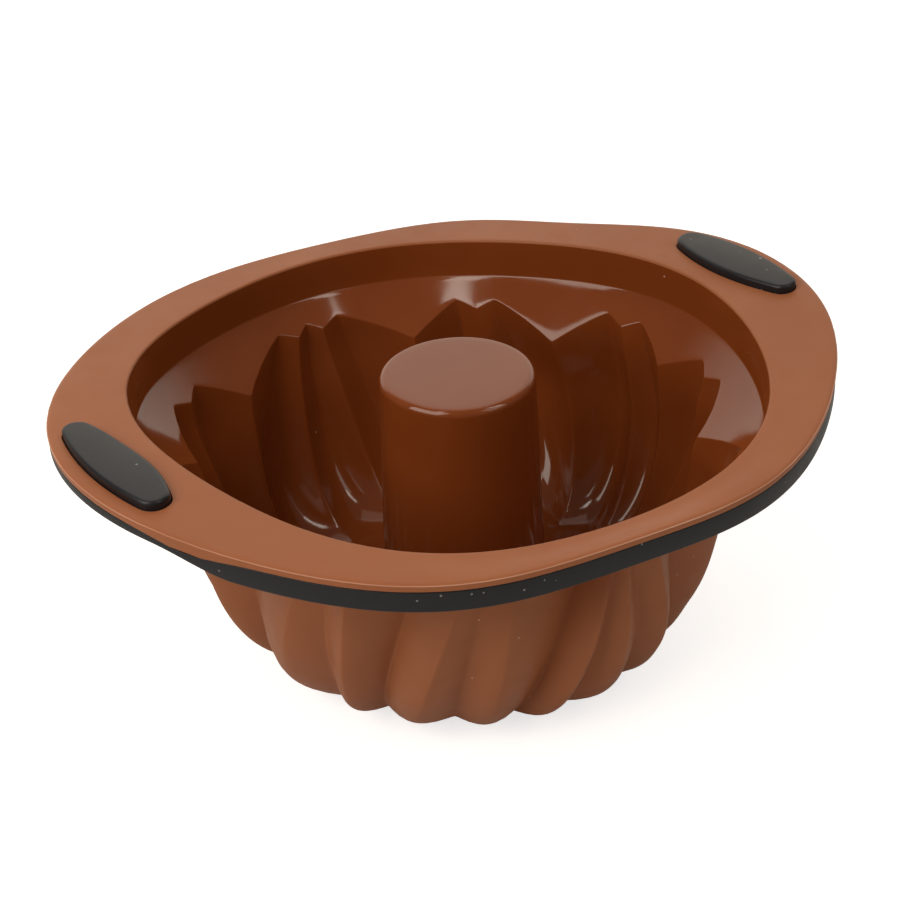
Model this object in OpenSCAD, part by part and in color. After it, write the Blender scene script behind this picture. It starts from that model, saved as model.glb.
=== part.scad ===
// Silicone bundt pan: a fluted mould with a centre tube, hung by its flange
// in a rigid support frame that carries two grip pads.
// Millimetres. Origin: middle of the base the pan stands on. +Z up, +X along the grips.

/* [Mould] */
// Diameter of the round opening
opening_d = 220; // [180:5:260]
// Height from the base to the top of the flange
pan_h = 105; // [95:1:120]
// Thickness of the silicone wall
wall_t = 2; // [1.5:0.1:2.4]
// Thickness of the flange
flange_t = 2.6; // [2.2:0.1:3.2]
// Height of the plain collar below the opening
collar_h = 15.4; // [10:0.2:18]
// How far the collar narrows from the opening to its foot
collar_draft = 1.65; // [0.5:0.05:3]
// Steepness of the ledge below the collar, drop per unit of radius
ledge_slope = 0.88; // [0.6:0.02:1.1]

/* [Flutes] */
// Inside radius that the lobes reach below the ledge
lobe_r = 100.7; // [90:0.1:101]
// Drop from the flange to where the lobes start
lobe_top = 22; // [20:0.5:26]
// Radius of the flat ring of the floor
floor_r = 55; // [48:1:60]
// Exponent of the curve from the lobe wall to the floor
lobe_curve = 2.3; // [1.6:0.1:2.8]
// How far a deep crease stands in from the lobes
deep_crease = 12.4; // [6:0.1:13]
// How far a shallow crease stands in at the ledge
shallow_crease = 3.3; // [1:0.1:4]
// How far a shallow crease has grown at the floor
shallow_crease_low = 10.5; // [5:0.5:11]
// Spread of the two corners beside a shallow crease, degrees
corner_spread = 4.6; // [3:0.1:6]

/* [Centre tube] */
// Radius at the top
tube_top_r = 27.8; // [20:0.1:30]
// Radius at the floor
tube_base_r = 31; // [22:0.1:34]
// Drop from the flange to the top of the tube
tube_drop = 2; // [0:0.5:15]
// Radius of the rounded top edge
tube_round = 4.6; // [2.5:0.1:5]

/* [Flange outline] */
// Mean reach of the flange from the centre
rim_mean = 131.7; // [128:0.1:136]
// Extra reach at the two grips
rim_ear = 7; // [4:0.1:9]
// Squareness of the ears
rim_square = 1.7; // [0:0.1:2.5]
// Sharpness of the ears
rim_sharp = 1; // [0:0.1:1.5]
// Turn of the outline that leaves the neck on one side of each ear
rim_turn = -0.8; // [-1.5:0.1:1.5]

/* [Support frame] */
// Thickness of the plate under the flange
plate_t = 2.2; // [1.8:0.1:3]
// Height of the skirt between the ears
skirt_h = 7.4; // [5:0.1:10]
// Height of the skirt below the pads
skirt_ear_h = 3.3; // [2.8:0.1:5]
// Thickness of the skirt
skirt_t = 2.4; // [1.8:0.1:3]
// Gap between the frame and the mould
frame_gap = 0.6; // [0.3:0.1:1]

/* [Grip pads] */
// Length of a pad
pad_l = 60; // [54:0.1:64]
// Width of a pad at its middle
pad_w = 17; // [14:0.1:18]
// Radius of the rounded ends
pad_end_r = 5.2; // [3:0.1:6]
// How far a pad stands above the flange
pad_proud = 3.5; // [1.5:0.1:4]
// Distance of a pad's middle from the centre
pad_reach = 126.3; // [124:0.1:129]
// Direction of a pad's middle from the long axis, degrees
pad_at = 6.2; // [0:0.1:8]
// Turn of a pad from the long axis, degrees
pad_turn = 12.4; // [8:0.1:24]
// Gap between a pad and its window in the flange
window_gap = 0.4; // [0.2:0.1:0.6]
// Diameter of a pad's pegs
peg_d = 5; // [4:0.5:6]
// Gap between a peg and its hole, on the diameter
peg_gap = 0.2; // [0.1:0.1:0.4]

/* [Hidden] */

$fn = 96;
cut = 1;

// Each crease is an inward ridge of the wall: its direction at the ledge, its
// direction at the floor, and its depth as a share of a deep crease, or 0 for a
// shallow one.
creases = [
    [-27, -16, 1], [-9, -4, 0], [7, 2, 0.75], [23, 10, 0], [41, 27, 1], [61, 49, 0],
    [78, 71, 1], [98.5, 92, 0], [104.5, 113, 0], [126, 135, 1], [142, 151, 0],
    [159, 167, 1], [178, 178, 0], [195, 185, 1], [220, 211, 0], [237, 221, 1],
    [250, 241, 0], [272.5, 257, 1], [276, 270, 0], [279.5, 290, 0], [296, 304, 1],
    [316, 323, 0]
];
crease_n = len(creases);
turn = 360;

opening_r = opening_d / 2;
collar_foot_r = opening_r - collar_draft;
collar_foot_z = pan_h - collar_h;
// The ledge leans, so its thickness measured upright is more than the wall's.
ledge_drop = wall_t * sqrt(1 + ledge_slope * ledge_slope);
lobe_z = pan_h - lobe_top;
tube_z = pan_h - tube_drop;
tube_foot = 5;
edge_break = 0.6;
plate_z = pan_h - flange_t - 0.1;
skirt_drop = plate_z - skirt_h;
plate_hole_r = opening_r + wall_t + frame_gap;
snap_d = peg_d + 0.9;
snap_h = 0.9;
peg_pitch = pad_l * 0.5;
pad_step = 0.9;
// A pad stands a hair above the plate; its pegs hold it.
pad_foot_z = plate_z + 0.05;

function mix(a, b, t) = a + (b - a) * t;
function smooth(t) = t * t * (3 - 2 * t);

// Creases repeat round the circle.
function crease_at(i, low) =
    creases[i % crease_n][low ? 1 : 0] + turn * floor(i / crease_n);
function crease_angle(i, v) = mix(crease_at(i, false), crease_at(i, true), v);
function crease_share(i) = creases[i % crease_n][2];
function crease_deep(i) = crease_share(i) > 0;
function crease_depth(i, v) =
    crease_deep(i) ? deep_crease * crease_share(i) : mix(shallow_crease, shallow_crease_low, v);

// Place of the outward corner between crease i and the next, as a share of the gap.
function corner_share(i) =
    let (share = min(0.4, corner_spread / (crease_at(i + 1, false) - crease_at(i, false))))
    crease_deep(i) == crease_deep(i + 1) ? 0.5 :
    crease_deep(i) ? 1 - share : share;
function corner_at(i, v) = mix(corner_share(i), 0.5, v);

// A column k of segment i: 0 on the crease, 2 on the corner, 1 and 3 between them.
function share(i, k, v) =
    let (p = corner_at(i, v))
    k <= 2 ? p * k / 2 : mix(p, 1, (k - 2) / 2);
function column_angle(i, k, v) =
    mix(crease_angle(i, v), crease_angle(i + 1, v), share(i, k, v));

// Depth of the wall behind the lobes: straight flanks at the ledge, round lobes below.
function column_depth(i, k, v) =
    let (
        own = k <= 2 ? crease_depth(i, v) : crease_depth(i + 1, v),
        away = k <= 2 ? k / 2 : 2 - k / 2,
        flat_flank = 1 - away,
        round_flank = 1 - sin(90 * away)
    )
    own * mix(flat_flank, round_flank, smooth(v));

// Lobe wall at angle a of its curve, from 0 under the ledge to 90 at the floor.
// skin is 0 inside the pan and wall_t outside.
function curve_v(a) = pow(sin(a), 2 / lobe_curve);
function wall_r(i, k, a, skin) =
    let (v = curve_v(a))
    floor_r + pow(cos(a), 2 / lobe_curve) * (lobe_r + skin - floor_r - column_depth(i, k, v));
function wall_z(a, skin) = mix(lobe_z, wall_t - skin, curve_v(a));
function ledge_z(r, skin) =
    collar_foot_z - ledge_slope * (collar_foot_r - r) - (skin > 0 ? ledge_drop : 0);

// Angle at which the wall of a column meets the ledge, found by halving.
function meet(i, k, skin, lo = 0, hi = 60, steps = 16) =
    let (a = (lo + hi) / 2)
    steps == 0 ? a :
    wall_z(a, skin) > ledge_z(wall_r(i, k, a, skin), skin) ?
        meet(i, k, skin, a, hi, steps - 1) : meet(i, k, skin, lo, a, steps - 1);

// Reach of the flange in direction a.
function rim_r(a) =
    rim_mean + rim_ear * cos(2 * a) + rim_turn * sin(2 * a)
    + rim_square * cos(4 * a) + rim_sharp * cos(6 * a);
function polar(r, a, z) = [r * cos(a), r * sin(a), z];

// Rows of the mould's skin down one column, from the tube's top over the rim
// and back under to the tube's hollow.
wall_rows = 7;
function wall_row(i, k, n, skin) =
    let (a = mix(90, meet(i, k, skin), n / wall_rows))
    polar(wall_r(i, k, a, skin), column_angle(i, k, curve_v(a)), wall_z(a, skin));
function column(i, k) =
    let (
        low = column_angle(i, k, 1),
        high = column_angle(i, k, curve_v(meet(i, k, 0))),
        high_out = column_angle(i, k, curve_v(meet(i, k, wall_t))),
        r45 = tube_round * (1 - cos(45))
    )
    [
        polar(tube_top_r - tube_round, low, tube_z),
        polar(tube_top_r - r45, low, tube_z - r45),
        polar(tube_top_r, low, tube_z - tube_round),
        polar(tube_base_r, low, wall_t + tube_foot),
        polar(tube_base_r + tube_foot, low, wall_t),
        for (n = [0 : wall_rows]) wall_row(i, k, n, 0),
        polar(collar_foot_r, high, collar_foot_z),
        polar(opening_r - edge_break / 2, high, pan_h - edge_break),
        polar(opening_r + edge_break, high, pan_h),
        polar(rim_r(high) - edge_break, high, pan_h),
        polar(rim_r(high), high, pan_h - edge_break),
        polar(rim_r(high), high, pan_h - flange_t),
        polar(opening_r + wall_t, high_out, pan_h - flange_t),
        polar(collar_foot_r + wall_t, high_out, collar_foot_z - wall_t / 2),
        for (n = [wall_rows : -1 : 0]) wall_row(i, k, n, wall_t),
        polar(tube_base_r + tube_foot - wall_t, low, 0),
        polar(tube_base_r - wall_t, low, tube_foot),
        polar(tube_top_r - wall_t, low, tube_z - tube_round - wall_t),
        polar(tube_top_r - wall_t - tube_round, low, tube_z - wall_t)
    ];

module silicone_skin() {
    columns = [for (i = [0 : crease_n - 1]) for (k = [0 : 3]) column(i, k)];
    n = len(columns);
    rows = len(columns[0]);
    top_pole = n * rows;
    low_pole = top_pole + 1;
    points = concat(
        [for (c = columns) for (p = c) p],
        [[0, 0, tube_z], [0, 0, tube_z - wall_t]]
    );
    faces = [
        for (c = [0 : n - 1])
            let (a = c * rows, b = ((c + 1) % n) * rows)
            each concat(
                [[top_pole, b, a], [low_pole, a + rows - 1, b + rows - 1]],
                [for (j = [0 : rows - 2]) [a + j, b + j, b + j + 1]],
                [for (j = [0 : rows - 2]) [a + j, b + j + 1, a + j + 1]]
            )
    ];
    polyhedron(points, faces, convexity = 10);
}

// Outline of a pad: two long arcs and two rounded ends, grown by grow on every side.
pad_arc_steps = 12;
pad_end_steps = 5;
// The long arcs are tangent to the end circles.
pad_end_x = pad_l / 2 - pad_end_r;
pad_arc_r = (pad_end_x * pad_end_x + pow(pad_w / 2, 2) - pad_end_r * pad_end_r)
    / (pad_w - 2 * pad_end_r);
pad_arc_y = pad_w / 2 - pad_arc_r;
pad_half = atan2(pad_end_x, -pad_arc_y);
function pad_side(grow) = [
    for (n = [0 : pad_arc_steps])
        let (a = 90 - pad_half + 2 * pad_half * n / pad_arc_steps)
        [(pad_arc_r + grow) * cos(a), (pad_arc_r + grow) * sin(a) + pad_arc_y]
];
function pad_end(grow) = [
    for (n = [1 : pad_end_steps])
        let (a = 90 + pad_half + 2 * (90 - pad_half) * n / (pad_end_steps + 1))
        [-pad_end_x + (pad_end_r + grow) * cos(a), (pad_end_r + grow) * sin(a)]
];
function turned(points) = [for (p = points) -p];
function pad_outline(grow) =
    concat(pad_side(grow), pad_end(grow), turned(pad_side(grow)), turned(pad_end(grow)));

// Place of the right pad; the left pad is the same, half a turn round.
module at_pad(half_turns = 0) {
    rotate(180 * half_turns)
        rotate(pad_at)
            translate([pad_reach, 0, 0])
                rotate(90 - pad_at + pad_turn)
                    children();
}

module at_both_pads() {
    for (h = [0, 1]) at_pad(h) children();
}

module silicone_mould() {
    color("#8f4f33")
        // The fluted skin is one free-form mesh, so its windows are cut in the same mesh.
        resize([0, 0, 0])
            difference() {
                silicone_skin();
                at_both_pads()
                    translate([0, 0, pan_h - flange_t - cut])
                        linear_extrude(flange_t + 2 * cut) polygon(pad_outline(window_gap));
            }
}

module rim_outline(inset) {
    polygon([for (a = [0 : 3 : 357]) (rim_r(a) - inset) * [cos(a), sin(a)]]);
}

// Wedge below one pad that leaves the skirt shallow there, as a recess for the fingers.
module ear_relief() {
    inner_x = 116;
    outer_x = 130;
    far = 200;
    low = skirt_drop - cut;
    rotate([90, 0, pad_at])
        linear_extrude(2 * far, center = true)
            polygon([
                [inner_x, low], [inner_x, skirt_drop],
                [outer_x, plate_z - skirt_ear_h], [far, plate_z - skirt_ear_h], [far, low]
            ]);
}

module peg_holes() {
    for (s = [-1, 1])
        translate([s * peg_pitch / 2, 0, plate_z - plate_t - cut])
            cylinder(h = plate_t + 2 * cut, d = peg_d + peg_gap);
}

module support_frame() {
    color("#2b2b2b")
        difference() {
            union() {
                translate([0, 0, plate_z - plate_t])
                    linear_extrude(plate_t)
                        difference() {
                            rim_outline(0);
                            circle(plate_hole_r);
                        }
                translate([0, 0, skirt_drop])
                    linear_extrude(skirt_h)
                        difference() {
                            rim_outline(0);
                            rim_outline(skirt_t);
                        }
            }
            ear_relief();
            rotate(180) ear_relief();
            at_both_pads() peg_holes();
        }
}

module grip_pad() {
    body_h = plate_z + flange_t + pad_proud - pad_step - pad_foot_z;
    translate([0, 0, pad_foot_z]) {
        linear_extrude(body_h) polygon(pad_outline(0));
        translate([0, 0, body_h])
            linear_extrude(pad_step) polygon(pad_outline(-pad_step));
    }
    for (s = [-1, 1])
        translate([s * peg_pitch / 2, 0, plate_z - plate_t - snap_h - peg_gap / 2]) {
            cylinder(h = plate_t + snap_h + peg_gap, d = peg_d);
            cylinder(h = snap_h, d1 = peg_d, d2 = snap_d);
        }
}

module grip_pad_right() {
    color("#333333") at_pad(0) grip_pad();
}

module grip_pad_left() {
    color("#333333") at_pad(1) grip_pad();
}

silicone_mould();
support_frame();
grip_pad_right();
grip_pad_left();
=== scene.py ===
"""A fluted silicone bundt pan in its black support frame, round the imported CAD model.

Lengths in the shape code are in millimetres; a mesh turns into metres where it is settled.
"""
import math

import bpy
from mathutils import Matrix, Vector


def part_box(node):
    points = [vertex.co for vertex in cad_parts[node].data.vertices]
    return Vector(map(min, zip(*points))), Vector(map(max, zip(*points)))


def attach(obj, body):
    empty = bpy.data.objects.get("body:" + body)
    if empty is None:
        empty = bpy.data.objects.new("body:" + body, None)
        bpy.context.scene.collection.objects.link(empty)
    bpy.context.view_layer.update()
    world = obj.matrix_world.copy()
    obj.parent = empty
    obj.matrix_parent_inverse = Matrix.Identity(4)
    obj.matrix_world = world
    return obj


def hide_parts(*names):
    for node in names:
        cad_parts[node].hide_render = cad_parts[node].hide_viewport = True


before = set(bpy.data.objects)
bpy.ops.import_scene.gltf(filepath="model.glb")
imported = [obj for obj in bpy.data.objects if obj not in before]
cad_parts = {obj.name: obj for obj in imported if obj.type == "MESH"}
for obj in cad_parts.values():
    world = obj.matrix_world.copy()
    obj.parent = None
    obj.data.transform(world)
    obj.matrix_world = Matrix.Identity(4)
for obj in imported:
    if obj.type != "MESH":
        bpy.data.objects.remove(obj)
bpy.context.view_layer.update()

MM = 0.001


# ---------------------------------------------------------------- sizes, in millimetres

PAN_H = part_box("silicone_mould")[1].z / MM
FRAME_LOW_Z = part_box("support_frame")[0].z / MM
PLATE_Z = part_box("support_frame")[1].z / MM
PAD_TOP_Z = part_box("grip_pad_right")[1].z / MM
PEG_LOW_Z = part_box("grip_pad_right")[0].z / MM

OPENING_R = 110.0
WALL_T = 2.0
FLANGE_T = 2.6
COLLAR_H = 15.4
COLLAR_FOOT_R = OPENING_R - 1.65
COLLAR_FOOT_Z = PAN_H - COLLAR_H
COLLAR_ROUND = 1.2
COLLAR_ROUND_OUT = 1.5
LEDGE_SLOPE = 0.88
LEDGE_DROP = WALL_T * math.hypot(1, LEDGE_SLOPE)
LIP_ROUND = 0.9
LIP_IN = 0.9
LIP_ROUND_UNDER = 0.4
EDGE_ROUND = 0.35

LOBE_R = 100.7
LOBE_Z = PAN_H - 22
FLOOR_R = 55.0
LOBE_CURVE = 2.3
DEEP_CREASE = 12.4
SHALLOW_CREASE = 3.3
SHALLOW_CREASE_LOW = 10.5
CORNER_SPREAD = 4.6
CORNER_LIMIT = 0.4
CREASE_CUT = 0.35
CREASE_CUT_LIMIT = 0.25
JAG_ROUND = 1.2

TUBE_TOP_R = 27.8
TUBE_BASE_R = 31.0
TUBE_Z = PAN_H - 2
TUBE_ROUND = 4.6
TUBE_FOOT = 6.0
TUBE_DISC = (0.4, 0.8)
FLOOR_STEP = 0.6

RIM_MEAN = 131.7
RIM_EAR = 7.0
RIM_TURN = -0.8
RIM_SQUARE = 1.7
RIM_SHARP = 1.0

PLATE_T = 2.2
PLATE_ROUND = 0.3
SKIRT_T = 2.4
SKIRT_EAR_H = 3.3
SKIRT_ROUND = 0.6
SKIRT_TOP_IN = 0.15
SKIRT_TOP_ROUND = 0.35
SKIRT_RISE = (115, 131)
RIB_DROP = 0.3
RIB_IN = 1.5
RIB_ROUND = 0.2
FRAME_HOLE_R = OPENING_R + WALL_T + 0.6

PAD_L = 60.0
PAD_W = 17.0
PAD_END_R = 5.2
PAD_REACH = 126.3
PAD_AT = 6.2
PAD_TURN = 12.4
PAD_ROUND = 1.3
PAD_CROWN = 0.35
PAD_GAP = 0.05
WINDOW_GAP = 0.4
PEG_PITCH = PAD_L / 2
PEG_R = 2.5
PEG_GAP = 0.1
PEG_INTO_PAD = 0.5
SNAP_R = 2.95
SNAP_H = 0.9
SNAP_TIP = (0.4, 0.2)
SNAP_STEP = 0.02

# How far a cutter reaches below and above what it cuts.
WINDOW_CUT = (3, 1)
HOLE_CUT = (4, 1)

# Beside each ear the flange's rim hangs lower, and the frame dips to make room for it.
NECK_AT = 208.0
NECK_SPREAD = 4.5
NECK_DROP = 2.2
NECK_LIP = 3.0
NECK_STEP = 0.5
FRAME_NECK = (1.0, 0.4)

# The soft pan isn't true. The ears stand up and the sides sag by this much per square
# millimetre. The opening sits off the tube's axis and is out of round; the body is drawn in
# below one side. The rim is off centre too, is nipped in and up at one place and waves
# beside one ear.
SADDLE = 0.000253
SADDLE_FADE = 71.0
OPENING_SHIFT = (-2.8, 0.4)
OPENING_SKEW = -2.1
OPENING_SQUARE = -0.8
OPENING_PUCKER = 1.5
DRAWN_AT = 318.0
DRAWN_SPREAD = 20.0
DRAWN_IN = 4.4
RIM_SHIFT = (-2.2, 0.5)
NIP_AT = 274.0
NIP_SPREAD = 17.0
NIP_IN = 5.0
NIP_UP = 2.6
WAVE_AT = 43.0
WAVE_SPREAD = 24.0
WAVE_COUNT = 6
WAVE = 3.2

# Heights (Z) and reaches (R) over which these set in, from the end without to the end with.
OPENING_FADE_Z = (46, 76)
OPENING_FADE_R = (55, 85)
OPENING_RIM_FADE_R = (126, 112)
DRAWN_FADE_Z = (0, 25)
DRAWN_END_Z = (64, 80)
DRAWN_FADE_R = (55, 80)
RIM_FADE_Z = (75, 89)
RIM_FADE_R = (111, 126)

# Points nearer the axis than this have no direction to be moved in.
AXIS_R = 1

# Each crease of the fluted wall: direction at the ledge, direction at the floor, and depth
# as a share of a deep crease, or 0 for a shallow one.
CREASES = [
    (-27, -16, 1), (-9, -4, 0), (7, 2, 0.75), (23, 10, 0), (41, 27, 1), (61, 49, 0),
    (78, 71, 1), (98.5, 92, 0), (104.5, 113, 0), (126, 135, 1), (142, 151, 0),
    (159, 167, 1), (178, 178, 0), (195, 185, 1), (220, 211, 0), (237, 221, 1),
    (250, 241, 0), (272.5, 257, 1), (276, 270, 0), (279.5, 290, 0), (296, 304, 1),
    (316, 323, 0),
]

# The flange's edge from its top down: step out from the rim, drop from the top, and tag.
RIM_EDGE = [(-1.5, 0, "flange"), (-0.5, 0.12, "flange"), (-0.25, 0.28, "flash"),
            (0.1, 0.46, "flash"), (-0.05, 0.62, "flange")]

# How fine the meshes are.
WALL_ROWS = 32
LEDGE_ROWS = 4
FLANGE_ROWS = 8
FRAME_COLUMNS = 480
PAD_ARC_STEPS = 30
PAD_END_STEPS = 10
PAD_ROUND_STEPS = 6
PAD_CROWN_SHARES = (0.97, 0.9, 0.8, 0.65, 0.45, 0.25, 0.08)
PEG_STEPS = 32
MEET_STEPS = 24
MEET_LIMIT = 60
SHARP_FROM = 38
FILLET_LIMIT = 0.48

# Material slots of the mould.
MATT, GLOSSY, FLASH = 0, 1, 2


# ---------------------------------------------------------------- small maths

def mix(a, b, t):
    return a + (b - a) * t


def clamp(x, low=0.0, high=1.0):
    return min(high, max(low, x))


def smooth(t):
    t = clamp(t)
    return t * t * (3 - 2 * t)


def fade(x, span):
    """0 up to the first end of a span, 1 from the second on."""
    return smooth((x - span[0]) / (span[1] - span[0]))


def rounded_abs(x, e):
    return math.sqrt(x * x + e * e)


def near(degrees, middle, width):
    """1 in one direction, falling off to both sides of it."""
    away = (degrees - middle + 180) % 360 - 180
    return math.exp(-0.5 * (away / width) ** 2)


def neck_drop(degrees):
    """How much lower the flange's rim hangs beside each ear."""
    return NECK_DROP * max(near(degrees, NECK_AT, NECK_SPREAD),
                           near(degrees, NECK_AT - 180, NECK_SPREAD))


def rim_r(degrees):
    """Reach of the flange in one direction."""
    a = math.radians(degrees)
    return (RIM_MEAN + RIM_EAR * math.cos(2 * a) + RIM_TURN * math.sin(2 * a)
            + RIM_SQUARE * math.cos(4 * a) + RIM_SHARP * math.cos(6 * a))


def opening_bulge(a):
    """How far the opening stands out from its circle in direction a."""
    return (OPENING_SHIFT[0] * math.cos(a) + OPENING_SHIFT[1] * math.sin(a)
            + OPENING_SKEW * math.sin(2 * a) + OPENING_SQUARE * math.sin(4 * a)
            + OPENING_PUCKER * math.sin(5 * a))


def settled(x, y, z):
    """A point of the true shape, in millimetres, where slack silicone leaves it, in metres."""
    r = math.hypot(x, y)
    if r > AXIS_R:
        a = math.atan2(y, x)
        degrees = math.degrees(a)
        bulge = opening_bulge(a) * fade(z, OPENING_FADE_Z) * fade(r, OPENING_FADE_R)
        drawn = DRAWN_IN * near(degrees, DRAWN_AT, DRAWN_SPREAD)
        bulge -= (drawn * (1 - fade(z, DRAWN_END_Z)) * fade(z, DRAWN_FADE_Z)
                  * fade(r, DRAWN_FADE_R))
        outer = fade(z, RIM_FADE_Z) * fade(r, RIM_FADE_R)
        nip = near(degrees, NIP_AT, NIP_SPREAD) * outer
        ripple = math.cos(WAVE_COUNT * (a - math.radians(WAVE_AT)))
        wave = near(degrees, WAVE_AT, WAVE_SPREAD) * ripple * outer
        grown = (r + bulge * fade(r, OPENING_RIM_FADE_R) - NIP_IN * nip - WAVE * wave) / r
        x, y = x * grown + RIM_SHIFT[0] * outer, y * grown + RIM_SHIFT[1] * outer
        z += NIP_UP * nip
    z += SADDLE * (x * x - y * y) * clamp(z / SADDLE_FADE)
    return (x * MM, y * MM, z * MM)


# ---------------------------------------------------------------- meshes

def filleted(corners):
    """An open line of (r, z, tag) points through corners of (r, z, tag, radius, steps)."""
    out = [corners[0][:3]]
    for before, corner, after in zip(corners, corners[1:], corners[2:]):
        r, z, tag, radius, steps = corner
        if radius == 0:
            out.append((r, z, tag))
            continue
        c = Vector((r, z))
        to_before = Vector(before[:2]) - c
        to_after = Vector(after[:2]) - c
        half = to_before.angle(to_after) / 2
        reach = min(radius / math.tan(half), FILLET_LIMIT * to_before.length,
                    FILLET_LIMIT * to_after.length)
        start = c + to_before.normalized() * reach
        end = c + to_after.normalized() * reach
        weight = math.sin(half)
        for k in range(steps + 1):
            t = k / steps
            a, b, d = (1 - t) ** 2, 2 * t * (1 - t) * weight, t * t
            p = (start * a + c * b + end * d) / (a + b + d)
            out.append((p.x, p.y, tag))
    out.append(corners[-1][:3])
    return out


def spread(a, b, count):
    """count points evenly between a and b, both left out."""
    return [(mix(a[0], b[0], k / (count + 1)), mix(a[1], b[1], k / (count + 1)))
            for k in range(1, count + 1)]


def circle(centre, r):
    """Points round a centre."""
    angles = [math.tau * m / PEG_STEPS for m in range(PEG_STEPS)]
    return [(centre[0] + r * math.cos(a), centre[1] + r * math.sin(a)) for a in angles]


def new_object(name, vertices, faces, materials, slots=None):
    mesh = bpy.data.meshes.new(name)
    mesh.from_pydata(vertices, [], faces)
    for material in materials:
        mesh.materials.append(material)
    if slots is not None:
        mesh.polygons.foreach_set("material_index", slots)
    mesh.polygons.foreach_set("use_smooth", [True] * len(mesh.polygons))
    mesh.validate()
    obj = bpy.data.objects.new(name, mesh)
    bpy.context.scene.collection.objects.link(obj)
    return obj


def cut(obj, cutter):
    """Cuts cutter out of obj and throws cutter away."""
    modifier = obj.modifiers.new("cut", "BOOLEAN")
    modifier.operation = "DIFFERENCE"
    modifier.solver = "EXACT"
    modifier.object = cutter
    bpy.context.view_layer.update()
    graph = bpy.context.evaluated_depsgraph_get()
    done = bpy.data.meshes.new_from_object(obj.evaluated_get(graph))
    obj.modifiers.clear()
    obj.data = done
    bpy.data.objects.remove(cutter)


def settle(obj):
    """Turns an object made in millimetres into metres, slack as it lies, with crisp edges."""
    mesh = obj.data
    for vertex in mesh.vertices:
        vertex.co = settled(*vertex.co)
    mesh.polygons.foreach_set("use_smooth", [True] * len(mesh.polygons))
    mesh.set_sharp_from_angle(angle=math.radians(SHARP_FROM))
    mesh.update()


# ---------------------------------------------------------------- the fluted wall

def crease_at(i, low):
    """Direction of crease i at the ledge or, for low, at the floor."""
    turns, index = divmod(i, len(CREASES))
    return CREASES[index][1 if low else 0] + 360 * turns


def is_deep(i):
    return CREASES[i % len(CREASES)][2] > 0


def crease_depth(i, v):
    """Depth of crease i at share v of the way down the wall."""
    if is_deep(i):
        return DEEP_CREASE * CREASES[i % len(CREASES)][2]
    return mix(SHALLOW_CREASE, SHALLOW_CREASE_LOW, v)


def corner_share(i):
    """Place of the outward corner between crease i and the next, as a share of the gap."""
    if is_deep(i) == is_deep(i + 1):
        return 0.5
    gap = crease_at(i + 1, False) - crease_at(i, False)
    share = min(CORNER_LIMIT, CORNER_SPREAD / gap)
    return 1 - share if is_deep(i) else share


# Columns of points down the wall: crease before it, side of the outward corner, and share
# of the way from the crease on that side to the corner.
FLANK = [0, 0.025, 0.06, 0.12, 0.25, 0.5, 0.75, 0.88, 0.94, 0.975]
COLUMNS = [(i, side, x) for i in range(len(CREASES)) for side in (0, 1)
           for x in (FLANK if side == 0 else [1] + FLANK[:0:-1])]


def column_angle(column, v):
    """Direction of a column at share v of the way down the wall."""
    i, side, x = column
    corner = mix(corner_share(i), 0.5, v)
    t = corner * x if side == 0 else 1 - (1 - corner) * x
    return mix(mix(crease_at(i, False), crease_at(i, True), v),
               mix(crease_at(i + 1, False), crease_at(i + 1, True), v), t)


def column_depth(column, v):
    """How far the wall stands in from the lobes: straight flanks above, round lobes below."""
    i, side, x = column
    depth = crease_depth(i if side == 0 else i + 1, v)
    e = min(CREASE_CUT_LIMIT, 2 * CREASE_CUT / depth)
    straight = (rounded_abs(1 - x, e) - rounded_abs(x, e) + 1) / 2
    tip = (rounded_abs(x, e) - e) / (rounded_abs(1, e) - e)
    lobe = 1 - math.sin(math.pi / 2 * tip)
    return depth * mix(straight, lobe, smooth(v))


# The wall's section is a quarter of a superellipse; a is its curve angle, 0 at the top and
# a right angle at the floor. skin is 0 for the inside of the wall and WALL_T for the outside.

def curve_v(a):
    return math.sin(a) ** (2 / LOBE_CURVE)


def wall_r(column, a, skin):
    reach = LOBE_R + skin - FLOOR_R - column_depth(column, curve_v(a))
    return FLOOR_R + math.cos(a) ** (2 / LOBE_CURVE) * reach


def wall_z(a, skin):
    return mix(LOBE_Z, WALL_T - skin, curve_v(a))


def ledge_z(r, skin):
    return COLLAR_FOOT_Z - LEDGE_SLOPE * (COLLAR_FOOT_R - r) - (LEDGE_DROP if skin else 0)


def meet(column, skin):
    """Curve angle at which a column of the wall meets the ledge."""
    low, high = 0.0, math.radians(MEET_LIMIT)
    for _ in range(MEET_STEPS):
        a = (low + high) / 2
        if wall_z(a, skin) > ledge_z(wall_r(column, a, skin), skin):
            low = a
        else:
            high = a
    return (low + high) / 2


def point_v(z, skin):
    """Share of the way down the wall at height z, which sets how far the flutes have leant."""
    return clamp((LOBE_Z - z) / (LOBE_Z - WALL_T + skin))


def wall_line(column, skin):
    """The wall from the floor to its meeting with the ledge, as (r, z) points."""
    top = meet(column, skin)
    line = []
    for k in range(WALL_ROWS + 1):
        a = mix(math.pi / 2, top, k / WALL_ROWS)
        line.append((wall_r(column, a, skin), wall_z(a, skin)))
    return line


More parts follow.
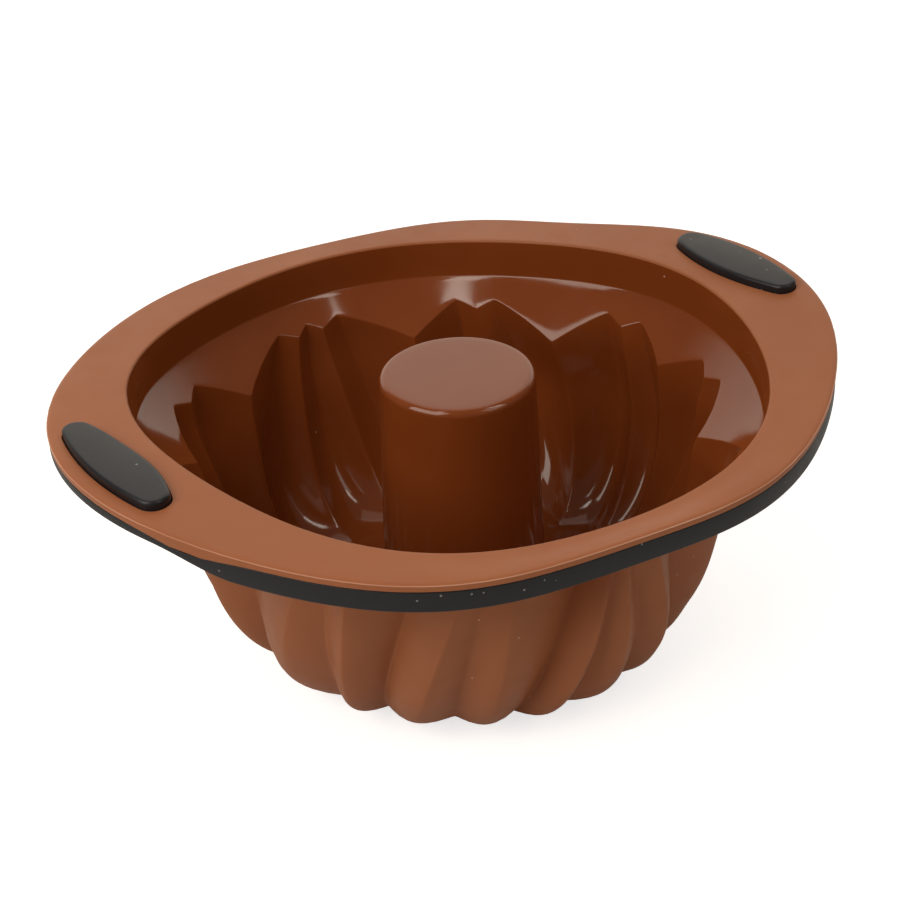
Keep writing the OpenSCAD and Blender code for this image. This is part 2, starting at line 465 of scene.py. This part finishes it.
def mould_line(column):
    """One column of the mould: down the tube, up the wall, over the rim and back outside."""
    rim_angle = column_angle(column, 0)
    rim = rim_r(rim_angle)
    inner_wall = wall_line(column, 0)
    outer_wall = wall_line(column, WALL_T)
    corners = []

    def add(point, tag, radius=0.0, steps=0):
        corners.append((point[0], point[1], tag, radius, steps))

    def add_run(a, b, count, tag):
        for point in spread(a, b, count):
            add(point, tag)

    tube_top = (TUBE_TOP_R, TUBE_Z)
    tube_low = (TUBE_BASE_R, WALL_T)
    for share in TUBE_DISC:
        add((TUBE_TOP_R * share, TUBE_Z), "tube")
    add(tube_top, "tube", TUBE_ROUND, steps=7)
    add_run(tube_top, tube_low, 5, "tube")
    add(tube_low, "tube", TUBE_FOOT, steps=5)
    add((mix(TUBE_BASE_R, FLOOR_R, FLOOR_STEP), WALL_T), "tube")

    foot = (COLLAR_FOOT_R, COLLAR_FOOT_Z)
    lip = (OPENING_R - LIP_IN, PAN_H)
    for point in inner_wall[:-1]:
        add(point, "inside")
    add(inner_wall[-1], "inside", JAG_ROUND, steps=5)
    add_run(inner_wall[-1], foot, LEDGE_ROWS, "inside")
    add(foot, "inside", COLLAR_ROUND, steps=3)
    add_run(foot, lip, 2, "inside")
    add(lip, "flange", LIP_ROUND, steps=6)
    add_run(lip, (rim, PAN_H), FLANGE_ROWS, "flange")
    for out, down, tag in RIM_EDGE:
        add((rim + out, PAN_H - down), tag)

    under = PAN_H - FLANGE_T
    low_edge = under - neck_drop(rim_angle)
    neck = (rim - NECK_LIP - NECK_STEP, under)
    add((rim, low_edge), "flange", EDGE_ROUND, steps=3)
    add((rim - NECK_LIP, low_edge), "flange")
    add(neck, "flange")

    out_foot = (COLLAR_FOOT_R + WALL_T, COLLAR_FOOT_Z - WALL_T / 2)
    under_lip = (OPENING_R + WALL_T, under)
    add_run(neck, under_lip, 4, "outside")
    add(under_lip, "outside", LIP_ROUND_UNDER, steps=2)
    add(out_foot, "outside", COLLAR_ROUND_OUT, steps=3)
    add_run(out_foot, outer_wall[-1], LEDGE_ROWS, "outside")
    add(outer_wall[-1], "outside", JAG_ROUND, steps=4)
    for point in reversed(outer_wall[:-1]):
        add(point, "outside")
    add((TUBE_BASE_R + TUBE_FOOT - WALL_T, 0), "hollow")
    add((TUBE_BASE_R - WALL_T, TUBE_FOOT), "hollow")
    hollow_top = (TUBE_TOP_R - WALL_T, TUBE_Z - WALL_T)
    add(hollow_top, "hollow", TUBE_ROUND - WALL_T / 2, steps=4)
    add((TUBE_TOP_R * TUBE_DISC[0], TUBE_Z - WALL_T), "hollow")
    return filleted(corners)


def lean(column, z, tag):
    """Direction of a column's point at height z."""
    if tag in ("tube", "hollow"):
        return column_angle(column, 1)
    if tag in ("flange", "flash"):
        return column_angle(column, 0)
    return column_angle(column, point_v(z, WALL_T if tag == "outside" else 0))


def strip_slot(tag, next_tag):
    """Material slot of the strip between two rows of the mould."""
    if tag in ("tube", "inside") and next_tag in ("tube", "inside", "flange"):
        return GLOSSY
    return FLASH if tag == next_tag == "flash" else MATT


def make_mould(matt, glossy, flash):
    lines = [mould_line(column) for column in COLUMNS]
    rows = len(lines[0])
    vertices = []
    for column, line in zip(COLUMNS, lines):
        for r, z, tag in line:
            a = math.radians(lean(column, z, tag))
            vertices.append((r * math.cos(a), r * math.sin(a), z))
    top_pole = len(vertices)
    low_pole = top_pole + 1
    vertices += [(0, 0, TUBE_Z), (0, 0, TUBE_Z - WALL_T)]
    tags = [tag for _, _, tag in lines[0]]
    faces, slots = [], []
    for c in range(len(COLUMNS)):
        a = c * rows
        b = (c + 1) % len(COLUMNS) * rows
        faces += [(top_pole, a, b), (low_pole, b + rows - 1, a + rows - 1)]
        slots += [GLOSSY, MATT]
        for j in range(rows - 1):
            faces.append((a + j, a + j + 1, b + j + 1, b + j))
            slots.append(strip_slot(tags[j], tags[j + 1]))
    mould = new_object("mould", vertices, faces, [matt, glossy, flash], slots)
    below, above = WINDOW_CUT
    for half_turns in (0, 1):
        outline = placed(pad_outline(WINDOW_GAP), half_turns)
        cut(mould, prism("window_cutter", outline, PAN_H - FLANGE_T - below, PAN_H + above))
    settle(mould)
    return mould


# ---------------------------------------------------------------- the grip pads

PAD_END_X = PAD_L / 2 - PAD_END_R
PAD_ARC_R = (PAD_END_X ** 2 + (PAD_W / 2) ** 2 - PAD_END_R ** 2) / (PAD_W - 2 * PAD_END_R)
PAD_ARC_Y = PAD_W / 2 - PAD_ARC_R
PAD_HALF = math.atan2(PAD_END_X, -PAD_ARC_Y)


def pad_outline(grow):
    """Two long arcs and two rounded ends, grown by grow on every side."""
    arc_r, end_r = PAD_ARC_R + grow, PAD_END_R + grow
    half = []
    for n in range(PAD_ARC_STEPS + 1):
        a = math.pi / 2 - PAD_HALF + 2 * PAD_HALF * n / PAD_ARC_STEPS
        half.append((arc_r * math.cos(a), arc_r * math.sin(a) + PAD_ARC_Y))
    for n in range(1, PAD_END_STEPS + 1):
        a = math.pi / 2 + PAD_HALF + 2 * (math.pi / 2 - PAD_HALF) * n / (PAD_END_STEPS + 1)
        half.append((-PAD_END_X + end_r * math.cos(a), end_r * math.sin(a)))
    return half + [(-x, -y) for x, y in half]


def placed(points, half_turns):
    """Points of a pad's own plane in their place on the right (0) or left (1) ear."""
    turn = Matrix.Rotation(math.radians(90 + PAD_TURN), 3, "Z")
    to_ear = Matrix.Rotation(math.radians(PAD_AT + 180 * half_turns), 3, "Z")
    out = to_ear @ Vector((PAD_REACH, 0, 0))
    half = Matrix.Rotation(math.pi * half_turns, 3, "Z")
    return [(half @ turn @ Vector((p[0], p[1], 0)) + out)[:2] for p in points]


def peg_centres(half_turns):
    return [placed([(s * PEG_PITCH / 2, 0)], half_turns)[0] for s in (-1, 1)]


def prism(name, outline, low, high):
    n = len(outline)
    vertices = [(x, y, low) for x, y in outline] + [(x, y, high) for x, y in outline]
    faces = [tuple(reversed(range(n))), tuple(range(n, 2 * n))]
    faces += [(k, (k + 1) % n, n + (k + 1) % n, n + k) for k in range(n)]
    return new_object(name, vertices, faces, [])


def ring_stack(rings):
    """Vertices and faces of a closed body lofted through rings of equal length."""
    n = len(rings[0])
    vertices = [p for ring in rings for p in ring]
    faces = []
    for k in range(len(rings) - 1):
        for m in range(n):
            a, b = k * n + m, k * n + (m + 1) % n
            faces.append((a, b, b + n, a + n))
    faces.append(tuple(reversed(range(n))))
    last = (len(rings) - 1) * n
    faces.append(tuple(range(last, last + n)))
    return vertices, faces


def make_pad(name, half_turns, material):
    low = PLATE_Z + PAD_GAP
    top = PAD_TOP_Z - PAD_CROWN
    rings = []

    def add_ring(outline, z):
        rings.append([(x, y, z) for x, y in placed(outline, half_turns)])

    add_ring(pad_outline(0), low)
    add_ring(pad_outline(0), top - PAD_ROUND)
    for k in range(1, PAD_ROUND_STEPS + 1):
        a = math.pi / 2 * k / PAD_ROUND_STEPS
        add_ring(pad_outline(-PAD_ROUND * (1 - math.cos(a))),
                 top - PAD_ROUND * (1 - math.sin(a)))
    flat = pad_outline(-PAD_ROUND)
    for share in PAD_CROWN_SHARES:
        add_ring([(x * share, y * share) for x, y in flat],
                 top + PAD_CROWN * (1 - share * share))
    vertices, faces = ring_stack(rings)

    tip_in, tip_h = SNAP_TIP
    snap_top = PEG_LOW_Z + SNAP_H
    profile = [(PEG_R - tip_in, PEG_LOW_Z), (PEG_R, PEG_LOW_Z + tip_h), (SNAP_R, snap_top),
               (PEG_R, snap_top + SNAP_STEP), (PEG_R, low + PEG_INTO_PAD)]
    for centre in peg_centres(half_turns):
        peg_vertices, peg_faces = ring_stack(
            [[(x, y, z) for x, y in circle(centre, r)] for r, z in profile])
        start = len(vertices)
        vertices += peg_vertices
        faces += [tuple(start + v for v in face) for face in peg_faces]
    pad = new_object(name, vertices, faces, [material])
    settle(pad)
    return pad


# ---------------------------------------------------------------- the support frame

def skirt_low_z(degrees):
    """Height of the skirt's lower edge, which rises below the pads as a recess for fingers."""
    along = abs(rim_r(degrees) * math.cos(math.radians(degrees - PAD_AT)))
    return mix(FRAME_LOW_Z, PLATE_Z - SKIRT_EAR_H, fade(along, SKIRT_RISE))


def frame_line(degrees):
    """Section of the frame in one direction, as a ring of (r, z, tag) points."""
    rim = rim_r(degrees)
    drop = neck_drop(degrees)
    low = skirt_low_z(degrees)
    plate_low = PLATE_Z - PLATE_T
    neck_in, neck_out = (rim - NECK_LIP - step for step in FRAME_NECK)
    skirt_in = rim - SKIRT_T
    corners = [
        (FRAME_HOLE_R, plate_low, "", 0, 0),
        (FRAME_HOLE_R, PLATE_Z, "", PLATE_ROUND, 2),
        (mix(FRAME_HOLE_R, neck_in, 0.5), PLATE_Z, "", 0, 0),
        (neck_in, PLATE_Z, "", 0, 0),
        (neck_out, PLATE_Z - drop, "", 0, 0),
        (rim - SKIRT_TOP_IN, PLATE_Z - drop, "", SKIRT_TOP_ROUND, 3),
        (rim, low, "", SKIRT_ROUND, 4),
        (skirt_in, low, "", SKIRT_ROUND, 4),
        (skirt_in, plate_low - RIB_DROP - drop * RIB_DROP, "", RIB_ROUND, 2),
        (skirt_in - RIB_IN - drop, plate_low, "", 0, 0),
        (FRAME_HOLE_R, plate_low, "", 0, 0),
    ]
    return filleted(corners)[:-1]


def make_frame(material):
    lines = [frame_line(360 * k / FRAME_COLUMNS) for k in range(FRAME_COLUMNS)]
    rows = len(lines[0])
    vertices, faces = [], []
    for k, line in enumerate(lines):
        angle = math.tau * k / FRAME_COLUMNS
        vertices += [(r * math.cos(angle), r * math.sin(angle), z) for r, z, _ in line]
        a, b = k * rows, (k + 1) % FRAME_COLUMNS * rows
        for j in range(rows):
            n = (j + 1) % rows
            faces.append((a + j, a + n, b + n, b + j))
    ring = new_object("frame_ring", vertices, faces, [material])
    below, above = HOLE_CUT
    for half_turns in (0, 1):
        for centre in peg_centres(half_turns):
            cut(ring, prism("hole_cutter", circle(centre, PEG_R + PEG_GAP),
                            PLATE_Z - PLATE_T - below, PLATE_Z + above))
    settle(ring)
    return ring


# ---------------------------------------------------------------- materials

class Nodes:
    """A short way to write a material's node tree."""

    def __init__(self, name):
        self.material = bpy.data.materials.new(name)
        self.material.use_nodes = True
        self.tree = self.material.node_tree
        self.shader = self.tree.nodes["Principled BSDF"]

    def add(self, kind, **values):
        """A node with its settings, or its inputs' values, given by name."""
        node = self.tree.nodes.new(kind)
        for key, value in values.items():
            if hasattr(node, key):
                setattr(node, key, value)
            else:
                node.inputs[key.replace("_", " ")].default_value = value
        return node

    def link(self, source, target):
        self.tree.links.new(source, target)

    def feed(self, sockets, values):
        """Gives each socket a number, a colour or the output of another node."""
        for socket, value in zip(sockets, values):
            if isinstance(value, (int, float)):
                socket.default_value = value
            elif isinstance(value, tuple):
                socket.default_value = (*value, 1)
            else:
                self.link(value, socket)

    def place(self):
        """Object coordinates in metres."""
        return self.add("ShaderNodeTexCoord").outputs["Object"]

    def noise(self, where, size_mm, detail=3.0, rough=0.55):
        node = self.add("ShaderNodeTexNoise", Scale=1 / (size_mm * MM), Detail=detail,
                        Roughness=rough)
        self.link(where, node.inputs["Vector"])
        return node.outputs[0]

    def remap(self, value, a, b, c, d):
        """Takes a range from a to b to one from c to d."""
        node = self.add("ShaderNodeMapRange", From_Min=a, From_Max=b, To_Min=c, To_Max=d)
        self.link(value, node.inputs["Value"])
        return node.outputs["Result"]

    def maths(self, operation, a, b):
        node = self.add("ShaderNodeMath", operation=operation)
        self.feed(node.inputs, (a, b))
        return node.outputs[0]

    def tint(self, share, a, b):
        """Colour a, turning into colour b as share grows from 0 to 1."""
        node = self.add("ShaderNodeMix", data_type="RGBA")
        self.feed((node.inputs["Factor"], node.inputs[6], node.inputs[7]), (share, a, b))
        return node.outputs[2]

    def specks(self, where, cell_mm, radius_mm, share):
        """1 inside small round specks: one in some of the cells of a given size."""
        node = self.add("ShaderNodeTexVoronoi", Scale=1 / (cell_mm * MM))
        self.link(where, node.inputs["Vector"])
        split = self.add("ShaderNodeSeparateColor")
        self.link(node.outputs["Color"], split.inputs[0])
        chosen = self.maths("GREATER_THAN", split.outputs[0], 1 - share)
        size = self.remap(split.outputs[1], 0, 1, 0.4 * radius_mm / cell_mm,
                          radius_mm / cell_mm)
        inside = self.maths("LESS_THAN", node.outputs["Distance"], size)
        return self.maths("MULTIPLY", inside, chosen)

    def bump(self, height, depth_mm):
        node = self.add("ShaderNodeBump", Strength=1.0, Distance=depth_mm * MM)
        self.link(height, node.inputs["Height"])
        self.link(node.outputs["Normal"], self.shader.inputs["Normal"])


def silicone(name, colour, dark, shine, rough, rough_spread, grain_mm, grain_depth_mm, dust):
    """Silicone clouded between two colours, patchy in its shine, with some pale dust."""
    m = Nodes(name)
    where = m.place()
    cloud = m.noise(where, size_mm=38, detail=2.0)
    colour_out = m.tint(m.remap(cloud, 0.3, 0.7, 0, 1), dark, colour)
    grain = m.noise(where, grain_mm, detail=4.0, rough=0.6)
    if dust:
        specks = m.specks(where, cell_mm=6, radius_mm=0.42, share=dust)
        colour_out = m.tint(m.maths("MULTIPLY", specks, 0.7), colour_out, (0.70, 0.55, 0.47))
    m.link(colour_out, m.shader.inputs["Base Color"])
    patches = m.noise(where, size_mm=9)
    m.link(m.remap(patches, 0.3, 0.7, rough - rough_spread, rough + rough_spread),
           m.shader.inputs["Roughness"])
    m.shader.inputs["Specular IOR Level"].default_value = shine
    m.bump(grain, grain_depth_mm)
    return m.material


def black_plastic(name, grey, rough, dust, grain_depth_mm):
    """Black plastic, slightly blue and clouded, with small and large pale flecks."""
    m = Nodes(name)
    where = m.place()
    cloud = m.noise(where, size_mm=12, detail=4.0)
    base = m.tint(m.remap(cloud, 0.35, 0.65, 0, 1),
                  (grey * 0.8, grey * 0.85, grey * 1.1), (grey * 1.1, grey * 1.15, grey * 1.45))
    specks = m.specks(where, cell_mm=3.2, radius_mm=0.42, share=dust)
    flecks = m.specks(where, cell_mm=11, radius_mm=0.7, share=dust)
    marks = m.maths("MULTIPLY", m.maths("MAXIMUM", specks, flecks), 0.6)
    m.link(m.tint(marks, base, (0.35, 0.33, 0.31)), m.shader.inputs["Base Color"])
    m.link(m.remap(cloud, 0.3, 0.7, rough - 0.06, rough + 0.06), m.shader.inputs["Roughness"])
    m.shader.inputs["Specular IOR Level"].default_value = 0.35
    m.bump(m.noise(where, size_mm=0.35), grain_depth_mm)
    return m.material


silicone_matt = silicone(
    "silicone_matt", (0.370, 0.130, 0.056), (0.340, 0.115, 0.049), shine=0.14, rough=0.40,
    rough_spread=0.06, grain_mm=0.55, grain_depth_mm=0.012, dust=0.20)
silicone_flash = silicone(
    "silicone_flash", (0.56, 0.30, 0.21), (0.45, 0.20, 0.12), shine=0.14, rough=0.44,
    rough_spread=0.06, grain_mm=0.55, grain_depth_mm=0.012, dust=0)
silicone_glossy = silicone(
    "silicone_glossy", (0.228, 0.053, 0.012), (0.205, 0.045, 0.009), shine=0.5, rough=0.09,
    rough_spread=0.02, grain_mm=2.5, grain_depth_mm=0.005, dust=0.04)
frame_black = black_plastic("frame_black", 0.010, rough=0.42, dust=0.5, grain_depth_mm=0.012)
pad_black = black_plastic("pad_black", 0.011, rough=0.36, dust=0.12, grain_depth_mm=0.015)


# ---------------------------------------------------------------- the pieces

def hand_in(piece, body, node):
    """Puts a piece on its body, in place of its CAD node."""
    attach(piece, body)
    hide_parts(node)


hand_in(make_mould(silicone_matt, silicone_glossy, silicone_flash),
        "mould", "silicone_mould")
hand_in(make_frame(frame_black), "frame", "support_frame")
for half_turns, side in ((0, "right"), (1, "left")):
    hand_in(make_pad("pad_" + side, half_turns, pad_black),
            "frame", "grip_pad_" + side)


# ---------------------------------------------------------------- floor, light and camera
# Lengths are in metres from here on.

CAMERA_PLACE = Vector((-0.2239, -0.5064, 0.4179))
CAMERA_AIM = Vector((-0.00934, -0.01224, 0.07989))
CAMERA_ROLL = math.radians(-2.57)
CAMERA_LENS = 72
CAMERA_SENSOR = 36
CAMERA_CLIP = (0.05, 20)
AWAY = Vector((-CAMERA_PLACE.x, -CAMERA_PLACE.y, 0)).normalized()
PAN_MIDDLE = Vector((0, 0, 0.07))

FLOOR_HALF = 4.0
PAPER = 0.75
PAPER_GLOW = 0.72

# A bright backdrop behind the pan and a dimmer room on the camera's side, blended over this
# share of facing away from the camera. The camera sees plain white; the light is warm.
BACKDROP = 1.12
ROOM = 0.14
BACKDROP_TILT = 0.25
BACKDROP_FADE = (0.55, 0.8)
WARM = (1.0, 0.93, 0.82)


def round_the_pan(degrees, elevation, distance):
    """A place seen from the pan: 0 degrees is the camera's side, positive to its right."""
    flat = Matrix.Rotation(math.radians(degrees), 3, "Z") @ -AWAY
    up = math.radians(elevation)
    return PAN_MIDDLE + distance * (math.cos(up) * flat + math.sin(up) * Vector((0, 0, 1)))


corners = [(x * FLOOR_HALF, y * FLOOR_HALF, 0) for x, y in ((-1, -1), (1, -1), (1, 1), (-1, 1))]
floor = new_object("floor", corners, [(0, 1, 2, 3)], [])
paper = Nodes("paper")
paper.shader.inputs["Base Color"].default_value = (PAPER, PAPER, PAPER, 1)
paper.shader.inputs["Roughness"].default_value = 0.9
paper.shader.inputs["Specular IOR Level"].default_value = 0.1
paper.shader.inputs["Emission Color"].default_value = (1, 1, 1, 1)
seen = paper.add("ShaderNodeLightPath").outputs["Is Camera Ray"]
paper.link(paper.maths("MULTIPLY", seen, PAPER_GLOW), paper.shader.inputs["Emission Strength"])
floor.data.materials.append(paper.material)

world = bpy.data.worlds.new("studio")
bpy.context.scene.world = world
world.use_nodes = True
sky = world.node_tree
background = sky.nodes["Background"]
direction = sky.nodes.new("ShaderNodeTexCoord").outputs["Generated"]
seen = sky.nodes.new("ShaderNodeLightPath").outputs["Is Camera Ray"]
facing = sky.nodes.new("ShaderNodeVectorMath")
facing.operation = "DOT_PRODUCT"
sky.links.new(direction, facing.inputs[0])
facing.inputs[1].default_value = (AWAY.x, AWAY.y, BACKDROP_TILT)
ramp = sky.nodes.new("ShaderNodeMapRange")
ramp.interpolation_type = "SMOOTHSTEP"
ramp.inputs["From Min"].default_value, ramp.inputs["From Max"].default_value = BACKDROP_FADE
ramp.inputs["To Min"].default_value, ramp.inputs["To Max"].default_value = ROOM, BACKDROP
sky.links.new(facing.outputs["Value"], ramp.inputs["Value"])
strength = sky.nodes.new("ShaderNodeMix")
sky.links.new(seen, strength.inputs["Factor"])
sky.links.new(ramp.outputs["Result"], strength.inputs[2])
strength.inputs[3].default_value = 1.0
sky.links.new(strength.outputs[0], background.inputs["Strength"])
warmth = sky.nodes.new("ShaderNodeMix")
warmth.data_type = "RGBA"
sky.links.new(seen, warmth.inputs["Factor"])
warmth.inputs[6].default_value = (*WARM, 1)
warmth.inputs[7].default_value = (1, 1, 1, 1)
sky.links.new(warmth.outputs[2], background.inputs["Color"])


def softbox(name, degrees, elevation, distance, size, radiance):
    """A lamp of a given size and brightness, aimed at the pan."""
    data = bpy.data.lights.new(name, "AREA")
    data.shape = "RECTANGLE"
    data.size, data.size_y = size
    data.energy = radiance * math.pi * size[0] * size[1]
    data.color = WARM
    lamp = bpy.data.objects.new(name, data)
    lamp.location = round_the_pan(degrees, elevation, distance)
    lamp.rotation_mode = "QUATERNION"
    lamp.rotation_quaternion = (PAN_MIDDLE - lamp.location).to_track_quat("-Z", "Y")
    bpy.context.scene.collection.objects.link(lamp)


softbox("left_box", -50, 41, distance=1.15, size=(0.9, 0.85), radiance=3.6)
softbox("right_box", 60, 41, distance=1.5, size=(0.7, 0.8), radiance=1.5)
softbox("overhead", 180, 72, distance=1.6, size=(1.0, 0.7), radiance=0.5)
softbox("front_strip", -42, 68, distance=1.5, size=(0.16, 0.30), radiance=6.0)
softbox("side_strip", 77, 57, distance=1.5, size=(0.16, 0.50), radiance=5.0)

camera_data = bpy.data.cameras.new("camera")
camera_data.lens = CAMERA_LENS
camera_data.sensor_width = CAMERA_SENSOR
camera_data.clip_start, camera_data.clip_end = CAMERA_CLIP
camera = bpy.data.objects.new("camera", camera_data)
camera.location = CAMERA_PLACE
camera.rotation_mode = "QUATERNION"
looking = (CAMERA_AIM - CAMERA_PLACE).to_track_quat("-Z", "Y")
camera.rotation_quaternion = looking @ Matrix.Rotation(CAMERA_ROLL, 3, "Z").to_quaternion()
bpy.context.scene.collection.objects.link(camera)
bpy.context.scene.camera = camera

bpy.context.scene.view_settings.view_transform = "Standard"
